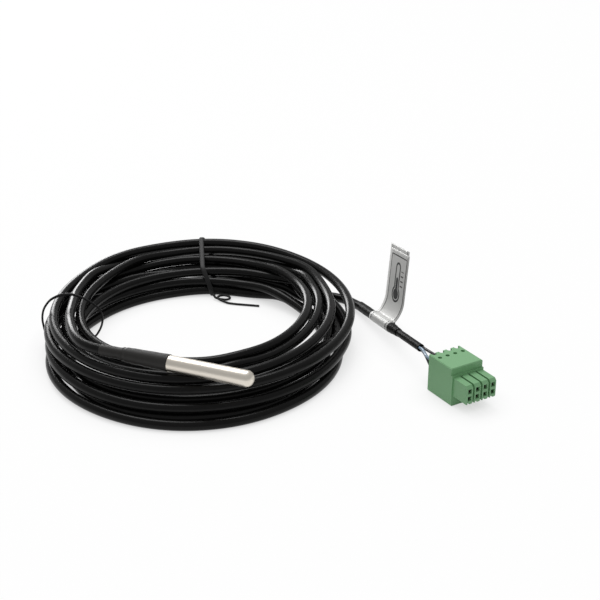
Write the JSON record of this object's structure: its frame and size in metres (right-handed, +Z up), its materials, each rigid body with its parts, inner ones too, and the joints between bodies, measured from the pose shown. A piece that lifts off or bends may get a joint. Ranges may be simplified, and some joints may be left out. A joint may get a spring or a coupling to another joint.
{
  "type": "temperature probe",
  "caption": "Temperature probe: a closed steel sensor tube on a coiled black cable with shrink sleeves, a film flag and a pale green two-row plug.",
  "frame": {"origin": "middle of the bare straight stretch of the sensor tube, on the tube's axis", "axes": "+X along the sensor tube towards its tip, +Z up from the surface that the coil lies on, +Y to the coil's side"},
  "size_m": [0.1846, 0.1375, 0.0357],
  "materials": {
    "tube_steel": "drawn stainless steel, satin",
    "resin": "cast resin, dull",
    "element_moulding": "moulded, matte",
    "tinned_leg": "tinned, bright",
    "core_insulation": "smooth",
    "cable_jacket": "smooth, semi-gloss",
    "shrink_sleeve": "shrunk sleeve, dull",
    "label_film": "silver film, satin",
    "wire_black": "smooth",
    "wire_blue": "smooth",
    "plug_moulding": "moulded, fine matte",
    "contact_metal": "tin-plated copper alloy, satin",
    "spring_steel": "strip, satin",
    "tie_black": "plastic-coated wire, matte"
  },
  "bodies": {
    "root": {"cable_coil": "cable_jacket", "cable_end": "cable_jacket", "cable_lead": "cable_jacket", "cable_sleeve": "shrink_sleeve", "cable_tail": "cable_jacket", "contact_1": "contact_metal", "contact_2": "contact_metal", "contact_3": "contact_metal", "contact_4": "contact_metal", "contact_5": "contact_metal", "contact_6": "contact_metal", "contact_7": "contact_metal", "contact_8": "contact_metal", "core_1": "core_insulation", "core_2": "core_insulation", "core_3": "core_insulation", "flag_label": "label_film", "plug_cap": "plug_moulding", "plug_housing": "plug_moulding", "potting": "resin", "sensing_element": "element_moulding", "sensor_leg_1": "tinned_leg", "sensor_leg_2": "tinned_leg", "sensor_leg_3": "tinned_leg", "sensor_tube": "tube_steel", "spring_1": "spring_steel", "spring_2": "spring_steel", "spring_3": "spring_steel", "spring_4": "spring_steel", "spring_5": "spring_steel", "spring_6": "spring_steel", "spring_7": "spring_steel", "spring_8": "spring_steel", "tail_sleeve": "shrink_sleeve", "tie_back": "tie_black", "tie_left": "tie_black", "tube_sleeve": "shrink_sleeve", "wire_black_1": "wire_black", "wire_black_2": "wire_black", "wire_blue": "wire_blue", "wire_sleeve": "shrink_sleeve"}
  },
  "joints": []
}
